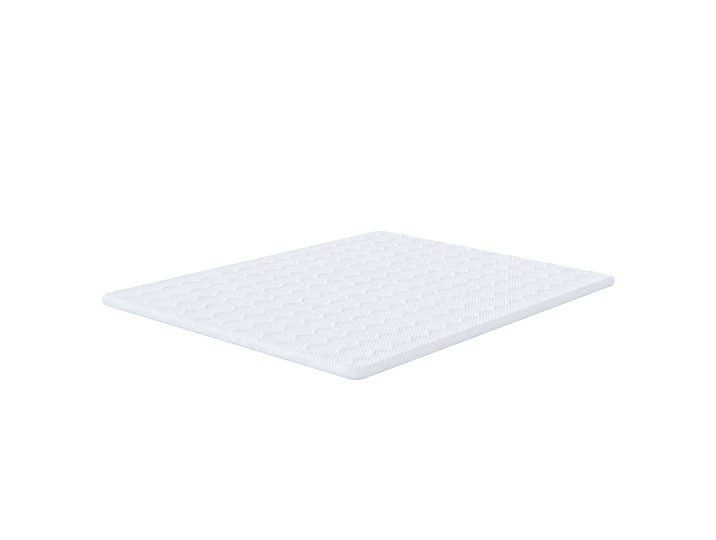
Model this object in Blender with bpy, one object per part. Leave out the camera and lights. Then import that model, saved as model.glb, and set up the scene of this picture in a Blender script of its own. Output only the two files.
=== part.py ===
"""Mattress topper: one foam pad in a thick knit cover, lying flat on its underside.

Metres, +Z up. The origin is at the middle of the underside, and the long side runs along Y.
The cover is laid out flat first, as staggered hexagons, then trimmed to the flat of the top. The
sides of the hexagons are raised as soft welts, and the rim is rolled down to the underside.
"""
import math

import bmesh
import bpy
from mathutils import Matrix, Vector

# The pad
LENGTH = 2.000            # long side, along Y
WIDTH = 1.500             # short side, along X
THICKNESS = 0.050         # from the underside to the crest of the welts
CORNER_RADIUS = 0.060     # of the outline, seen from above
EDGE_REACH = 0.024        # how far the rounded side stands out past the flat top
EDGE_FULLNESS = 2.3       # 2 is an ellipse; a larger number makes a boxier side

# The hexagons
CELL_PITCH = 0.123        # from one hexagon to the next, along Y
ROW_SPACING = 0.115       # from one row of hexagons to the next, along X
ROW_SKEW = 0.026          # the rows lean this far across for each metre along
FIRST_CELL = -0.034       # where a cell of the middle row has its centre, along Y
FIRST_ROW = 0.0035        # and along X
WELT_REACH = 0.0165       # from the crest of a welt down to the floor of the cell
WELT_HEIGHT = 0.0038
CELL_DISH = 0.0003        # the middle of a cell lies this far below the rest of its floor
RIM_EASE = 0.65           # share of this height lost where the cover is taut over the upper edge
EASE_MIDDLE = 0.005       # that place, past the flat top
EASE_REACH = 0.016        # and how far it is felt to either side

# Facets
CORNER_STEPS = 5          # on each corner of the outline
EDGE_STEPS = 6            # down the rounded side, from the top to the underside

NAME = "mattress_topper"
COLOUR = (0.86, 0.88, 0.92, 1.0)
ROUGHNESS = 0.9

FLAT_CORNER = CORNER_RADIUS - EDGE_REACH
CORE_HALF = Vector((WIDTH / 2 - CORNER_RADIUS, LENGTH / 2 - CORNER_RADIUS))


def clear_scene():
    for old in list(bpy.data.objects):
        bpy.data.objects.remove(old)


def inside_cell(across, along):
    """Distance from a point to the nearest side of the hexagon that holds it."""
    half_pitch = CELL_PITCH / 2
    apex = ROW_SPACING * 2 / 3
    slant = math.atan2(apex / 2, half_pitch)
    best = 0.0
    for row_parity in (0, 1):
        start_along = FIRST_CELL + row_parity * half_pitch
        start_across = FIRST_ROW + (row_parity - 1) * ROW_SPACING
        u = (along - start_along + half_pitch) % CELL_PITCH - half_pitch
        v = (across - start_across) % (2 * ROW_SPACING) - ROW_SPACING
        to_straight_side = half_pitch - abs(u)
        to_slanted_side = (apex - abs(u) * math.tan(slant) - abs(v)) * math.cos(slant)
        best = max(best, min(to_straight_side, to_slanted_side))
    return best


def relief(x, y):
    """Height of the cover at a point of the laid-out cloth; 0 is the crest of a welt."""
    inside = inside_cell(x + ROW_SKEW * y, y)
    fall = min(inside / WELT_REACH, 1.0)
    welt = WELT_HEIGHT * (1 - math.cos(math.pi * fall)) / 2
    dish = CELL_DISH * min(inside / (CELL_PITCH / 2), 1.0)
    return -welt - dish


def past_flat(point):
    """From the nearest point of the pad's core, in plan, and how far past the flat top that is."""
    nearest = Vector((
        max(-CORE_HALF.x, min(CORE_HALF.x, point.x)),
        max(-CORE_HALF.y, min(CORE_HALF.y, point.y))))
    away = point.to_2d() - nearest
    return away, away.length - FLAT_CORNER


def left_of_welts(beyond):
    """Share of the welts' height that is left at a distance past the flat top."""
    return 1 - RIM_EASE * math.exp(-((beyond - EASE_MIDDLE) / EASE_REACH) ** 2)


def lay_out_cells(bm):
    """Welded hexagons, each with an inner ring and a middle point, larger than the top."""
    rows = math.ceil(WIDTH / 2 / ROW_SPACING) + 1
    columns = math.ceil(LENGTH / 2 / CELL_PITCH) + 1
    size = Matrix.Diagonal((ROW_SPACING * 2 / 3, CELL_PITCH / math.sqrt(3), 1, 1))
    turn = Matrix.Rotation(math.pi / 2, 4, "Z")
    for row in range(-rows, rows + 1):
        for column in range(-columns, columns + 1):
            across = FIRST_ROW + row * ROW_SPACING
            along = FIRST_CELL + (column + (row % 2) / 2) * CELL_PITCH
            place = Matrix.Translation((across, along, 0))
            bmesh.ops.create_circle(
                bm, cap_ends=True, segments=6, radius=1, matrix=place @ size @ turn)
    bmesh.ops.remove_doubles(bm, verts=bm.verts[:], dist=1e-4)
    cells = bm.faces[:]
    bmesh.ops.inset_individual(bm, faces=cells, thickness=WELT_REACH, use_even_offset=True)
    bmesh.ops.poke(bm, faces=cells)
    lean = Matrix.Identity(4)
    lean[0][1] = -ROW_SKEW
    bmesh.ops.transform(bm, matrix=lean, verts=bm.verts[:])


def flat_outline():
    """Corners of the flat top, anticlockwise: straight sides and stepped round corners."""
    points = []
    for quarter, (side_x, side_y) in enumerate(((1, 1), (-1, 1), (-1, -1), (1, -1))):
        centre = Vector((side_x * CORE_HALF.x, side_y * CORE_HALF.y))
        for step in range(CORNER_STEPS + 1):
            angle = (quarter + step / CORNER_STEPS) * math.pi / 2
            points.append(centre + FLAT_CORNER * Vector((math.cos(angle), math.sin(angle))))
    return points


def trim(bm, outline):
    """Cut away what lies outside each side of the outline, which is convex."""
    for start, end in zip(outline, outline[1:] + outline[:1]):
        run = end - start
        bmesh.ops.bisect_plane(
            bm, geom=bm.verts[:] + bm.edges[:] + bm.faces[:], dist=1e-5,
            plane_co=start.to_3d(), plane_no=Vector((run.y, -run.x, 0)), clear_outer=True)


def neighbours(vert):
    return [edge.other_vert(vert) for edge in vert.link_edges]


def side_profile(turn):
    """Reach past the flat top and height of the side; turn goes from 0, top, to pi, underside."""
    power = 2 / EDGE_FULLNESS
    reach = EDGE_REACH * abs(math.sin(turn)) ** power
    lift = math.copysign(abs(math.cos(turn)) ** power, math.cos(turn))
    return reach, THICKNESS / 2 * (1 + lift)


def roll_over_side(bm):
    """Extrude the trimmed rim down the rounded side; the welts fade out at the underside."""
    rim = [edge for edge in bm.edges if edge.is_boundary]
    plans = {vert: vert.co.to_2d() for edge in rim for vert in edge.verts}
    travelled = 0.0
    profile = Vector(side_profile(0.0))
    for step in range(1, EDGE_STEPS + 1):
        turn = math.pi * step / EDGE_STEPS
        lower = Vector(side_profile(turn))
        travelled += (lower - profile).length
        profile = lower
        fade = (1 - (step / EDGE_STEPS) ** 4) * left_of_welts(travelled)
        made = bmesh.ops.extrude_edge_only(bm, edges=rim)["geom"]
        rim = [item for item in made if isinstance(item, bmesh.types.BMEdge) and item.is_boundary]
        plans_below = {}
        for vert in {vert for edge in rim for vert in edge.verts}:
            plan = next(plans[above] for above in neighbours(vert) if above in plans)
            plans_below[vert] = plan
            away = past_flat(plan)[0].normalized()
            cloth = plan + away * travelled
            sink = relief(cloth.x, cloth.y) * fade
            spot = plan + away * (profile.x + sink * math.sin(turn))
            vert.co = (spot.x, spot.y, profile.y + sink * math.cos(turn))
        plans = plans_below
    bmesh.ops.contextual_create(bm, geom=rim)


def make_topper():
    bm = bmesh.new()
    lay_out_cells(bm)
    trim(bm, flat_outline())
    for vert in bm.verts:
        beyond = past_flat(vert.co)[1]
        vert.co.z = THICKNESS + relief(vert.co.x, vert.co.y) * left_of_welts(beyond)
    roll_over_side(bm)
    bmesh.ops.recalc_face_normals(bm, faces=bm.faces[:])
    mesh = bpy.data.meshes.new("topper")
    bm.to_mesh(mesh)
    bm.free()
    mesh.shade_smooth()
    return bpy.data.objects.new("topper", mesh)


def knit_cover():
    material = bpy.data.materials.new("white_knit")
    material.use_nodes = True
    shader = material.node_tree.nodes["Principled BSDF"]
    shader.inputs["Base Color"].default_value = COLOUR
    shader.inputs["Roughness"].default_value = ROUGHNESS
    return material


def main():
    clear_scene()
    collection = bpy.data.collections.new(NAME)
    bpy.context.scene.collection.children.link(collection)
    topper = make_topper()
    topper.data.materials.append(knit_cover())
    collection.objects.link(topper)


main()
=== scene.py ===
# %% [markdown]
# # A mattress topper in a knit cover
# A topper is a thin foam pad that lies on a mattress. This one is a flat slab with soft rounded
# sides. Its thick white knit stands up in low welts that form staggered hexagons, and fine ribs
# run over everything, all one way.
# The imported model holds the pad's solid. This script dresses it: it makes the cover as one fine
# padded mesh, gives it a knit finish, and sets up the floor, the lights and the camera.

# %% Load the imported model
import math
from bisect import bisect_right

import bmesh
import bpy
from mathutils import Matrix, Vector, noise
from mathutils.bvhtree import BVHTree


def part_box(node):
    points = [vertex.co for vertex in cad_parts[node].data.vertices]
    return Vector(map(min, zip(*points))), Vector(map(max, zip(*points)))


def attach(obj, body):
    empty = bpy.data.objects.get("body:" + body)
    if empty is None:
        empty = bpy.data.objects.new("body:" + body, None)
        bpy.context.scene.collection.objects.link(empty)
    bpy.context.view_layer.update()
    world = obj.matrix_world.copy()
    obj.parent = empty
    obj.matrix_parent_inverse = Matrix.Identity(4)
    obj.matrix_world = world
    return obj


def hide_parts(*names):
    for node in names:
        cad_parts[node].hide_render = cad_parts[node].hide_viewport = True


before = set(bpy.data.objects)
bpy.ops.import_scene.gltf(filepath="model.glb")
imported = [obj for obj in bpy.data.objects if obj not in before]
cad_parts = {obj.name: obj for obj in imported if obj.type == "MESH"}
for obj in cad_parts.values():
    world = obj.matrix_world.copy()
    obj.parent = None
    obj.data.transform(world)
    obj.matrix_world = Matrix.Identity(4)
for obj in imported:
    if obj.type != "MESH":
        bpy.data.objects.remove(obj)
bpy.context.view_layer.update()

# %% [markdown]
# ## Sizes
# The solid's box gives the pad's own size. Everything else is worked out from a few sizes of the
# rounded side and of the knit's pattern, the same kinds that shape the solid.

# %% Sizes of the pad and of its pattern
pad_low, pad_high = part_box("topper")
WIDTH = round(pad_high.x - pad_low.x, 2)
LENGTH = round(pad_high.y - pad_low.y, 2)
THICKNESS = pad_high.z - pad_low.z
CORNER_RADIUS = 0.060     # of the outline, seen from above
EDGE_REACH = 0.024        # how far the rounded side stands out past the flat top
EDGE_FULLNESS = 2.3       # 2 is an ellipse; a larger number makes a boxier side

CELL_PITCH = 0.123        # from one hexagon to the next, along Y
ROW_SPACING = 0.115       # from one row of hexagons to the next, along X
ROW_SKEW = 0.026          # the rows lean this far across for each metre along
FIRST_CELL = -0.034       # where a cell of the middle row has its centre, along Y
FIRST_ROW = 0.0035        # and along X
WELT_REACH = 0.0165       # from the crest of a welt down to the floor of the cell
WELT_HEIGHT = 0.0039
CREST_HALF = 0.0025       # half the width of a welt's rounded crest
RIM_EASE = 0.65           # share of this height lost where the cover is taut over the upper edge
EASE_MIDDLE = 0.005       # that place, past the flat top
EASE_REACH = 0.016        # and how far it is felt to either side

APEX = ROW_SPACING * 2 / 3
SLANT = math.atan2(APEX / 2, CELL_PITCH / 2)
FLAT_CORNER = CORNER_RADIUS - EDGE_REACH
CORE_X = WIDTH / 2 - CORNER_RADIUS
CORE_Y = LENGTH / 2 - CORNER_RADIUS
print("pad", WIDTH, "x", LENGTH, "x", round(THICKNESS, 4))

# %% [markdown]
# ## The ribs
# The ribs are parallel to one slanted side of the hexagons. Their spacing fits the pattern: five
# to a cell along a row, and fifteen to every second row. So the ribs meet every welt in the same
# way, and one hexagon can stand for all.

# %% Rib lines
RIBS_ALONG = 5 / CELL_PITCH
RIBS_ACROSS = 15 / (2 * ROW_SPACING)
RIB_PHASE = -0.05
RIB_HEIGHT = 0.0011
RIB_NORMAL = Vector((RIBS_ACROSS, RIBS_ALONG, 0))
print("rib spacing:", round(1000 / RIB_NORMAL.length, 2), "mm")


def rib_turns(x, y):
    """How many ribs lie between the middle of a cell and a point of the laid-out cover."""
    across = x + ROW_SKEW * y - FIRST_ROW
    return RIBS_ACROSS * across + RIBS_ALONG * (y - FIRST_CELL) + RIB_PHASE


# %% [markdown]
# ## The rounded side
# Seen in section, the side is a superellipse: fuller than a half circle, as foam under a knit is.
# A table of points down that curve gives, for each distance that the cloth runs past the flat top,
# how far out it is, how high, and which way it faces.

# %% Section of the side
PROFILE_STEPS = 96


def section_point(turn):
    """Reach and height of the side; turn goes from 0 at the top to pi at the underside."""
    power = 2 / EDGE_FULLNESS
    reach = EDGE_REACH * abs(math.sin(turn)) ** power
    lift = math.copysign(abs(math.cos(turn)) ** power, math.cos(turn))
    return Vector((reach, THICKNESS / 2 * (1 + lift)))


section = [section_point(math.pi * step / PROFILE_STEPS) for step in range(PROFILE_STEPS + 1)]
travelled = [0.0]
for upper, lower in zip(section, section[1:]):
    travelled.append(travelled[-1] + (lower - upper).length)
GIRTH = travelled[-1]
print("cloth round the side:", round(GIRTH, 4), "m")


def side_at(distance):
    """Point (reach, height) and outward normal of the section, at a distance along the cloth."""
    step = min(max(bisect_right(travelled, distance) - 1, 0), PROFILE_STEPS - 1)
    share = (distance - travelled[step]) / (travelled[step + 1] - travelled[step])
    point = section[step].lerp(section[step + 1], min(share, 1.0))
    run = section[step + 1] - section[step]
    return point, Vector((-run.y, run.x)).normalized()


# %% [markdown]
# ## One hexagon
# A knit is made flat, so the cover starts flat too, as one hexagon that is copied along staggered
# rows. Two kinds are needed. The plain one has even triangles, which suit a cloth simulation. The
# fine one is cut along the foot of the welts and four times to each rib, so its edges follow what
# it has to show and the mesh stays light.

# %% Two hexagons
RINGS = 5                 # of triangles in the plain hexagon
CUTS_PER_RIB = 4
CUTS_PER_CELL = 4         # across the ribs, so that their long faces can bend


def hexagon(bm):
    """A hexagon about the origin, with its points towards +X and -X."""
    size = Matrix.Diagonal((APEX, CELL_PITCH / math.sqrt(3), 1, 1))
    turn = Matrix.Rotation(math.pi / 2, 4, "Z")
    bmesh.ops.create_circle(bm, cap_ends=True, segments=6, radius=1, matrix=size @ turn)


def cut(bm, geometry, point, normal, keep_all=True):
    """Cut along a plane, and give back the pieces that are left."""
    result = bmesh.ops.bisect_plane(
        bm, geom=geometry, dist=1e-6, plane_co=point, plane_no=normal, clear_outer=not keep_all)
    return [piece for piece in result["geom"] if piece.is_valid]


def plain_cell(bm):
    hexagon(bm)
    bmesh.ops.poke(bm, faces=bm.faces[:])
    bmesh.ops.subdivide_edges(bm, edges=bm.edges[:], cuts=RINGS - 1, use_grid_fill=True)


def fine_cell(bm):
    hexagon(bm)
    middle = bm.faces[:]
    for width in (CREST_HALF, WELT_REACH - CREST_HALF):
        bmesh.ops.inset_individual(bm, faces=middle, thickness=width, use_even_offset=True)
    geometry = bm.verts[:] + bm.edges[:] + bm.faces[:]
    to_side = round(RIBS_ACROSS * APEX * CUTS_PER_RIB)
    step = RIB_NORMAL / RIB_NORMAL.length_squared / CUTS_PER_RIB
    for line in range(1 - to_side, to_side):
        geometry = cut(bm, geometry, step * line, RIB_NORMAL)
    for line in range(1 - CUTS_PER_CELL // 2, CUTS_PER_CELL // 2):
        along = Vector((0, line * CELL_PITCH / CUTS_PER_CELL, 0))
        geometry = cut(bm, geometry, along, Vector((0, 1, 0)))


# %% Rows of hexagons
def verts_of(pieces):
    return [piece for piece in pieces if isinstance(piece, bmesh.types.BMVert)]


def repeat(bm, places):
    """Copy everything made so far to each of the places, counted from where it is now."""
    made = bm.verts[:] + bm.edges[:] + bm.faces[:]
    for place in places[1:]:
        copied = bmesh.ops.duplicate(bm, geom=made)["geom"]
        bmesh.ops.translate(bm, verts=verts_of(copied), vec=place)
    bmesh.ops.translate(bm, verts=verts_of(made), vec=places[0])


def laid_out(make_cell):
    """A bmesh of welded hexagons, larger than the cloth that the pad needs."""
    rows = math.ceil((WIDTH / 2 + GIRTH) / ROW_SPACING)
    columns = math.ceil((LENGTH / 2 + GIRTH) / CELL_PITCH) + 1
    bm = bmesh.new()
    make_cell(bm)
    repeat(bm, [
        (0, FIRST_CELL + column * CELL_PITCH, 0) for column in range(-columns, columns + 1)])
    repeat(bm, [
        (FIRST_ROW + row * ROW_SPACING, row % 2 * CELL_PITCH / 2, 0)
        for row in range(-rows, rows + 1)])
    bmesh.ops.remove_doubles(bm, verts=bm.verts[:], dist=1e-4)
    lean = Matrix.Identity(4)
    lean[0][1] = -ROW_SKEW
    bmesh.ops.transform(bm, matrix=lean, verts=bm.verts[:])
    return bm


# %% [markdown]
# ## From flat cloth to the pad
# Two functions do the shaping. to_welt gives the distance from a point to the nearest welt.
# on_pad puts a point of the flat cloth on the pad, over the top or down the side, and moves it out
# from the surface by a given lift, but never below the underside.

# %% Distance to a welt, and placing
def to_welt(x, y):
    """Distance from a point of the laid-out cover to the crest of the nearest welt."""
    best = 0.0
    for parity in (0, 1):
        along = y - FIRST_CELL - parity * CELL_PITCH / 2
        across = x + ROW_SKEW * y - FIRST_ROW - (parity - 1) * ROW_SPACING
        u = abs((along + CELL_PITCH / 2) % CELL_PITCH - CELL_PITCH / 2)
        v = abs(across % (2 * ROW_SPACING) - ROW_SPACING)
        slanted = (APEX - u * math.tan(SLANT) - v) * math.cos(SLANT)
        best = max(best, min(CELL_PITCH / 2 - u, slanted))
    return best


def beyond_flat(x, y):
    """Distance past the flat top (not above 0 on the flat), direction in plan, nearest point."""
    core = Vector((max(-CORE_X, min(CORE_X, x)), max(-CORE_Y, min(CORE_Y, y))))
    away = Vector((x, y)) - core
    return away.length - FLAT_CORNER, away, core


def on_pad(x, y, lift):
    """Where a point of the laid-out cover comes to lie, raised by lift from the pad."""
    beyond, away, core = beyond_flat(x, y)
    if beyond <= 0:
        return Vector((x, y, THICKNESS + lift))
    away.normalize()
    point, facing = side_at(min(beyond, GIRTH))
    out = FLAT_CORNER + point.x + facing.x * lift
    height = max(point.y + facing.y * lift, 0.0)
    return Vector((core.x + away.x * out, core.y + away.y * out, height))


# %% [markdown]
# ## Trim the cover to its cut shape
# The cloth that covers the top and the side is a larger rounded rectangle. Four straight cuts give
# its sides. Each corner is then rounded by a fan of short cuts, made only in the cloth near it.
# On the fine cover, more straight cuts follow the rounded side, so it bends in even steps.

# %% Trim
CORNER_CUTS = 14
SIDE_CUTS = 10


def side_lines(distance):
    """Point and outward normal of each of the pad's four straight sides, that far past the flat."""
    out_x, out_y = CORE_X + FLAT_CORNER + distance, CORE_Y + FLAT_CORNER + distance
    for normal in (Vector((1, 0, 0)), Vector((0, 1, 0)), Vector((-1, 0, 0)), Vector((0, -1, 0))):
        yield Vector((normal.x * out_x, normal.y * out_y, 0)), normal


def near_faces(bm, wanted):
    """The wanted faces with their edges and points, as one list in the same order each run."""
    faces = [face for face in bm.faces if wanted(face.calc_center_bounds())]
    around = dict.fromkeys(piece for face in faces for piece in (*face.verts, *face.edges))
    return [*around, *faces]


def trim(bm):
    everything = bm.verts[:] + bm.edges[:] + bm.faces[:]
    for point, normal in side_lines(GIRTH):
        everything = cut(bm, everything, point, normal, keep_all=False)
    radius = FLAT_CORNER + GIRTH
    for side_x, side_y in ((1, 1), (-1, 1), (-1, -1), (1, -1)):
        corner = near_faces(
            bm, lambda spot: side_x * spot.x > CORE_X - APEX and side_y * spot.y > CORE_Y - APEX)
        centre = Vector((side_x * CORE_X, side_y * CORE_Y, 0))
        for step in range(1, CORNER_CUTS):
            angle = step / CORNER_CUTS * math.pi / 2
            normal = Vector((side_x * math.cos(angle), side_y * math.sin(angle), 0))
            corner = cut(bm, corner, centre + normal * radius, normal, keep_all=False)


def bend_lines(bm):
    """Extra cuts along the rounded side, parallel to each straight edge of the pad."""
    for number in range(4):
        point, normal = list(side_lines(0))[number]
        reach = point.dot(normal)
        side = near_faces(bm, lambda spot: spot.dot(normal) > reach - WELT_REACH)
        for step in range(SIDE_CUTS):
            side = cut(bm, side, point + normal * (GIRTH * step / SIDE_CUTS), normal)


cover = laid_out(fine_cell)
trim(cover)
bend_lines(cover)
print("fine cover:", len(cover.verts), "points,", len(cover.faces), "faces")

# %% [markdown]
# ## Let the cloth sink between the welts
# On the real pad the knit is taut over each welt and sinks onto the foam between them. A cloth
# simulation on the plain hexagons does the same: the crests and the rim are pinned, a light
# pressure pushes the rest inwards, and how far each point sinks is its sag. The simulation gives
# the form, and SAG_FULL, the depth in an open middle, gives its size.

# %% Cloth simulation
FRAMES = 16
PRESSURE = 4.0
CLOTH_WEIGHT = 0.15       # kilograms to a point, light enough to settle in a few frames
CLOTH_QUALITY = 5
PINNED_REACH = 0.001      # points this close to a crest are held
SAG_FULL = 0.0100
MOST_SUNK = 0.95          # this share of the points has sunk less than an open middle
HIGH_ABOVE = 9.0          # where the look-up rays start


def simulated_sag():
    """Flat plain cover whose heights are the sag of the simulated cloth, for looking up."""
    trial_bm = laid_out(plain_cell)
    trim(trial_bm)
    bmesh.ops.triangulate(trial_bm, faces=trial_bm.faces[:])
    mesh = bpy.data.meshes.new("trial")
    trial_bm.to_mesh(mesh)
    for vert in mesh.vertices:
        vert.co = on_pad(vert.co.x, vert.co.y, 0.0)
    trial = bpy.data.objects.new("trial", mesh)
    bpy.context.scene.collection.objects.link(trial)
    held = trial.vertex_groups.new(name="held")
    trial_bm.verts.index_update()
    held.add([vert.index for vert in trial_bm.verts
              if vert.is_boundary or to_welt(*vert.co.xy) < PINNED_REACH], 1.0, "REPLACE")
    cloth = trial.modifiers.new("cloth", "CLOTH")
    cloth.settings.vertex_group_mass = "held"
    cloth.settings.quality = CLOTH_QUALITY
    cloth.settings.mass = CLOTH_WEIGHT
    cloth.settings.use_pressure = True
    cloth.settings.uniform_pressure_force = -PRESSURE
    cloth.settings.effector_weights.gravity = 0
    cloth.collision_settings.use_collision = False
    cloth.point_cache.frame_end = FRAMES
    for step in range(1, FRAMES + 1):
        bpy.context.scene.frame_set(step)
    evaluated = trial.evaluated_get(bpy.context.evaluated_depsgraph_get())
    sunk = evaluated.to_mesh()
    depths = [
        max((before.co - after.co).dot(before.normal), 0.0)
        for before, after in zip(mesh.vertices, sunk.vertices)]
    evaluated.to_mesh_clear()
    bpy.context.scene.frame_set(1)
    bpy.data.objects.remove(trial)
    bpy.data.meshes.remove(mesh)
    full = sorted(depths)[int(len(depths) * MOST_SUNK)]
    print("open cloth sank", round(full * 1000, 2), "mm before it was sized")
    for vert, depth in zip(trial_bm.verts, depths):
        vert.co.z = depth / full
    tree = BVHTree.FromBMesh(trial_bm)
    trial_bm.free()
    return tree


sag_tree = simulated_sag()

def sag_share(x, y):
    """Sag of the simulated cloth, 0 on a crest and about 1 in an open middle."""
    hit = sag_tree.ray_cast(Vector((x, y, HIGH_ABOVE)), Vector((0, 0, -1)))[0]
    if hit is None:
        hit = sag_tree.find_nearest(Vector((x, y, 0)))[0]
    return max(hit.z, 0.0)

# %% [markdown]
# ## The height of the cloth
# The sag stops softly where the knit meets the foam, so a cell has a flat floor. The ribs lie on
# top of that. Foam is never quite even, so a slow swell of a fraction of a millimetre runs through
# the pad. Where the cover is taut over the upper edge, the welts are lower. Everything fades out
# towards the underside, which is flat because the pad rests on it.

# %% Lift of each point
FLOOR_HARDNESS = 5.0      # the larger, the sharper the sag stops
FADE_POWER = 4            # the larger, the nearer to the underside the pattern goes on
SWELL_SIZE = 0.35
SWELL_HEIGHT = 0.0003
CREST_MARGIN = 0.0002     # makes up for the swell, which only goes down


def lift_at(x, y):
    """Height of the cloth against the crest of a welt, at a point of the laid-out cover."""
    sag = sag_share(x, y) * SAG_FULL + 1e-9
    depth = (sag ** -FLOOR_HARDNESS + WELT_HEIGHT ** -FLOOR_HARDNESS) ** (-1 / FLOOR_HARDNESS)
    rib = RIB_HEIGHT / 2 * math.sin(math.tau * rib_turns(x, y))
    swell = SWELL_HEIGHT * (noise.noise(Vector((x, y, 0)) / SWELL_SIZE) - 1)
    beyond = beyond_flat(x, y)[0]
    fade = 1 - min(max(beyond / GIRTH, 0.0), 1.0) ** FADE_POWER
    eased = RIM_EASE * math.exp(-((beyond - EASE_MIDDLE) / EASE_REACH) ** 2)
    return (rib + swell + CREST_MARGIN - depth * (1 - eased)) * fade


# %% [markdown]
# ## The finished cover
# Each fine point is placed on the pad with its lift. The flat cloth's own coordinates become the
# UV map, so the knit runs on over the side in one piece. The point's distance from a crest is kept
# too, for the painted highlight on the crests and the painted shade at the foot of the welts. One
# last face closes the flat underside.

# %% Place and close
crest_layer = cover.verts.layers.float.new("from_crest")
cloth_map = cover.loops.layers.uv.new("cloth")
for face in cover.faces:
    for loop in face.loops:
        loop[cloth_map].uv = loop.vert.co.xy
for vert in cover.verts:
    x, y = vert.co.xy
    vert[crest_layer] = to_welt(x, y)
    vert.co = on_pad(x, y, lift_at(x, y))
rim = [edge for edge in cover.edges if edge.is_boundary]
underside = bmesh.ops.contextual_create(cover, geom=rim)["faces"]
for face in underside:
    for loop in face.loops:
        loop[cloth_map].uv = loop.vert.co.xy
bmesh.ops.recalc_face_normals(cover, faces=cover.faces[:])
bmesh.ops.triangulate(cover, faces=[face for face in cover.faces if len(face.verts) > 4])

topper_mesh = bpy.data.meshes.new("topper_cover")
cover.to_mesh(topper_mesh)
cover.free()
topper_mesh.shade_smooth()
topper_cover = bpy.data.objects.new("topper_cover", topper_mesh)
bpy.context.scene.collection.objects.link(topper_cover)
print("cover:", sum(len(face.vertices) - 2 for face in topper_mesh.polygons), "triangles")

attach(topper_cover, "root")
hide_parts("topper")

# %% [markdown]
# ## The knit
# Close up, the cover is rows of small knit loops. They are far too fine for the mesh, so they are
# a bump: two crossing waves give a field of little lozenges. Little light gets down between the
# ribs, where the yarn is packed, so the valleys are also a shade darker than the crests. All three
# patterns are waves that run in a given direction, so one node group makes such a wave.

# %% Node helpers
def wire(tree, kind, inputs=(), **settings):
    """A node with its settings, and with its inputs set or linked, in order."""
    node = tree.nodes.new(kind)
    for name, value in settings.items():
        setattr(node, name, value)
    for socket, value in zip(node.inputs, inputs):
        if isinstance(value, bpy.types.NodeSocket):
            tree.links.new(value, socket)
        elif value is not None:
            socket.default_value = value
    return node


def math_node(tree, operation, *inputs):
    return wire(tree, "ShaderNodeMath", inputs, operation=operation).outputs[0]


# %% Wave group: parallel ridges of any spacing
def make_wave_group():
    group = bpy.data.node_groups.new("wave_ridges", "ShaderNodeTree")
    add = group.interface.new_socket
    add("Cloth", in_out="INPUT", socket_type="NodeSocketVector")
    add("Ridges", in_out="INPUT", socket_type="NodeSocketVector")
    add("Start", in_out="INPUT", socket_type="NodeSocketFloat")
    add("Height", in_out="OUTPUT", socket_type="NodeSocketFloat")
    start = group.nodes.new("NodeGroupInput")
    end = group.nodes.new("NodeGroupOutput")
    turns = wire(
        group, "ShaderNodeVectorMath",
        (start.outputs["Cloth"], start.outputs["Ridges"]), operation="DOT_PRODUCT")
    shifted = math_node(group, "ADD", turns.outputs["Value"], start.outputs["Start"])
    angle = math_node(group, "MULTIPLY", shifted, math.tau)
    wave = math_node(group, "SINE", angle)
    height = math_node(group, "MULTIPLY_ADD", wave, 0.5, 0.5)
    group.links.new(height, end.inputs["Height"])
    return group


wave_group = make_wave_group()
print("wave group sockets:", [item.name for item in wave_group.interface.items_tree])

# %% The cover's material
COVER_COLOUR = (0.795, 0.825, 0.883, 1.0)
CREST_HIGHLIGHT = 1.005       # painted highlight: the crests are a little lighter, as if they caught more light
SHADE_REACH = 0.032       # from a crest to where the painted highlight and shade end and the colour is plain again
# painted shade: the colour darkens towards the foot of each welt, where the cloth meets the cell
# floor
PAINTED_FOOT_SHADE = ((0.25, 1.0), (0.5, 0.985), (0.75, 0.995))
RIB_SHADE = 0.13          # how much darker a valley is than the crest of a rib
KNIT_PITCH = 0.0026
KNIT_HEIGHT = 0.0002
COVER_ROUGHNESS = 0.9
COVER_SHEEN = 0.15        # the soft glow of fine fibres that stand off the yarn


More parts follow.
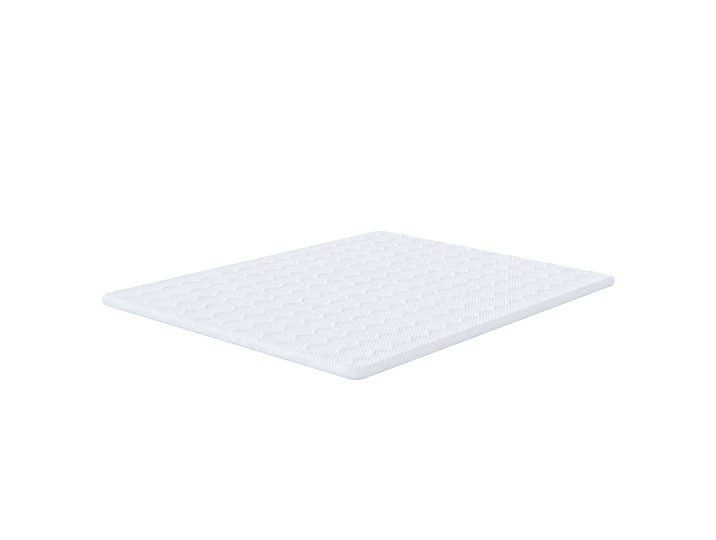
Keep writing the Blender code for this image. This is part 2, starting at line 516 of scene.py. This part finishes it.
def knit_material():
    material = bpy.data.materials.new("white_ribbed_knit")
    material.use_nodes = True
    tree = material.node_tree
    shader = tree.nodes["Principled BSDF"]
    cloth = wire(tree, "ShaderNodeUVMap", uv_map="cloth").outputs["UV"]

    loops = []
    for slope in (1, -1):
        loop = wire(tree, "ShaderNodeGroup", node_tree=wave_group)
        tree.links.new(cloth, loop.inputs["Cloth"])
        loop.inputs["Ridges"].default_value = (1 / KNIT_PITCH, slope / KNIT_PITCH, 0)
        loops.append(loop.outputs["Height"])
    knit_bump = wire(tree, "ShaderNodeBump")
    knit_bump.inputs["Strength"].default_value = 1.0
    knit_bump.inputs["Distance"].default_value = KNIT_HEIGHT
    tree.links.new(math_node(tree, "MULTIPLY", *loops), knit_bump.inputs["Height"])
    tree.links.new(knit_bump.outputs["Normal"], shader.inputs["Normal"])

    # Painted light: a ramp over the distance from a crest makes the crests a touch lighter and the
    # foot of each welt a little darker.
    away = wire(tree, "ShaderNodeAttribute", attribute_name="from_crest").outputs["Fac"]
    shade = wire(tree, "ShaderNodeValToRGB", (math_node(tree, "MULTIPLY", away, 1 / SHADE_REACH),))
    ramp = shade.color_ramp
    ramp.elements[0].color = [part * CREST_HIGHLIGHT for part in COVER_COLOUR[:3]] + [1]
    ramp.elements[1].color = COVER_COLOUR
    for place, strength in PAINTED_FOOT_SHADE:
        stop = ramp.elements.new(place)
        stop.color = [part * strength for part in COVER_COLOUR[:3]] + [1]
    ribs = wire(tree, "ShaderNodeGroup", node_tree=wave_group)
    tree.links.new(cloth, ribs.inputs["Cloth"])
    ribs.inputs["Ridges"].default_value = (RIBS_ACROSS, RIBS_ALONG + RIBS_ACROSS * ROW_SKEW, 0)
    ribs.inputs["Start"].default_value = rib_turns(0, 0)
    valleys = math_node(tree, "MULTIPLY_ADD", ribs.outputs["Height"], RIB_SHADE, 1 - RIB_SHADE / 2)
    shaded = wire(tree, "ShaderNodeVectorMath", operation="SCALE")
    tree.links.new(shade.outputs["Color"], shaded.inputs[0])
    tree.links.new(valleys, shaded.inputs["Scale"])
    shader.inputs["Base Color"].default_value = COVER_COLOUR
    tree.links.new(shaded.outputs["Vector"], shader.inputs["Base Color"])
    shader.inputs["Roughness"].default_value = COVER_ROUGHNESS
    shader.inputs["Sheen Weight"].default_value = COVER_SHEEN
    return material


topper_mesh.materials.append(knit_material())

# %% [markdown]
# ## Floor, light and camera
# The photograph has a bare white surround, so the floor is a wide plane that the camera sees as
# plain white, while the pad still gets its soft bounce. Most light is even, from a world that is
# brighter low down than overhead. A broad soft key skims the top from the left: it lights one flank
# of each welt and leaves the other and the long side a little darker. A weak fill comes from the
# front.

# %% Floor
FLOOR_HALF = 150.0        # so wide that the camera sees no end of it
FLOOR_COLOUR = (0.84, 0.84, 0.84, 1.0)

floor_bm = bmesh.new()
bmesh.ops.create_grid(floor_bm, x_segments=1, y_segments=1, size=FLOOR_HALF)
floor_mesh = bpy.data.meshes.new("floor")
floor_bm.to_mesh(floor_mesh)
floor_bm.free()
floor = bpy.data.objects.new("floor", floor_mesh)
bpy.context.scene.collection.objects.link(floor)
floor_material = bpy.data.materials.new("floor_white")
floor_material.use_nodes = True
floor_tree = floor_material.node_tree
floor_shader = floor_tree.nodes["Principled BSDF"]
floor_shader.inputs["Base Color"].default_value = FLOOR_COLOUR
floor_shader.inputs["Roughness"].default_value = 1.0
floor_shader.inputs["Specular IOR Level"].default_value = 0.0
floor_shader.inputs["Emission Color"].default_value = (1, 1, 1, 1)
seen_directly = wire(floor_tree, "ShaderNodeLightPath").outputs["Is Camera Ray"]
floor_tree.links.new(seen_directly, floor_shader.inputs["Emission Strength"])
floor_mesh.materials.append(floor_material)

# %% Light
WORLD_STRENGTH = 0.72
HORIZON_GAIN = 1.2        # how much brighter the horizon is than straight up, as a share
KEY_STRENGTH = 1.17
KEY_AZIMUTH = -87.0
KEY_ELEVATION = 20.0
KEY_SPREAD = 25.0
FILL_STRENGTH = 0.2
FILL_AZIMUTH = -20.0
FILL_ELEVATION = 15.0
FILL_SPREAD = 40.0


def direction(azimuth, elevation):
    """From the topper towards a point at that azimuth and elevation; azimuth 0 is -Y."""
    turn, tilt = math.radians(azimuth), math.radians(elevation)
    return Vector((
        math.sin(turn) * math.cos(tilt), -math.cos(turn) * math.cos(tilt), math.sin(tilt)))


world = bpy.data.worlds.new("studio")
bpy.context.scene.world = world
world.use_nodes = True
sky = world.node_tree.nodes["Background"]
sky.inputs["Color"].default_value = (1, 1, 1, 1)
look = wire(world.node_tree, "ShaderNodeTexCoord").outputs["Generated"]
rise = wire(world.node_tree, "ShaderNodeSeparateXYZ", (look,)).outputs["Z"]
above = math_node(world.node_tree, "MAXIMUM", rise, 0.0)
low_down = math_node(world.node_tree, "SUBTRACT", 1.0, above)
gain = math_node(world.node_tree, "MULTIPLY", low_down, low_down)
strength = math_node(
    world.node_tree, "MULTIPLY_ADD", gain, HORIZON_GAIN * WORLD_STRENGTH, WORLD_STRENGTH)
world.node_tree.links.new(strength, sky.inputs["Strength"])


def add_sun(name, strength, azimuth, elevation, spread):
    light = bpy.data.lights.new(name, "SUN")
    light.energy = strength
    light.angle = math.radians(spread)
    sun = bpy.data.objects.new(name, light)
    sun.rotation_mode = "QUATERNION"
    sun.rotation_quaternion = direction(azimuth, elevation).to_track_quat("Z", "Y")
    bpy.context.scene.collection.objects.link(sun)


add_sun("key", KEY_STRENGTH, KEY_AZIMUTH, KEY_ELEVATION, KEY_SPREAD)
add_sun("fill", FILL_STRENGTH, FILL_AZIMUTH, FILL_ELEVATION, FILL_SPREAD)
bpy.context.scene.view_settings.view_transform = "Standard"

# %% Camera
IMAGE_WIDTH = 716
FOCAL_PIXELS = 1184.8     # focal length in pixels of that width
SENSOR = 36.0
VIEW_AZIMUTH = 39.420
VIEW_ELEVATION = 13.987
VIEW_ROLL = 1.519
VIEW_DISTANCE = 5.8443
AIM = Vector((-0.2774, 0.2368, 0.025))

camera_data = bpy.data.cameras.new("camera")
camera_data.sensor_width = SENSOR
camera_data.lens = FOCAL_PIXELS * SENSOR / IMAGE_WIDTH
camera_data.clip_end = 4 * FLOOR_HALF
camera = bpy.data.objects.new("camera", camera_data)
back = direction(VIEW_AZIMUTH, VIEW_ELEVATION)
camera.location = AIM + back * VIEW_DISTANCE
facing = (-back).to_track_quat("-Z", "Y").to_matrix().to_4x4()
camera.rotation_mode = "QUATERNION"
roll = Matrix.Rotation(math.radians(VIEW_ROLL), 4, "Z")
camera.rotation_quaternion = (facing @ roll).to_quaternion()
bpy.context.scene.collection.objects.link(camera)
bpy.context.scene.camera = camera
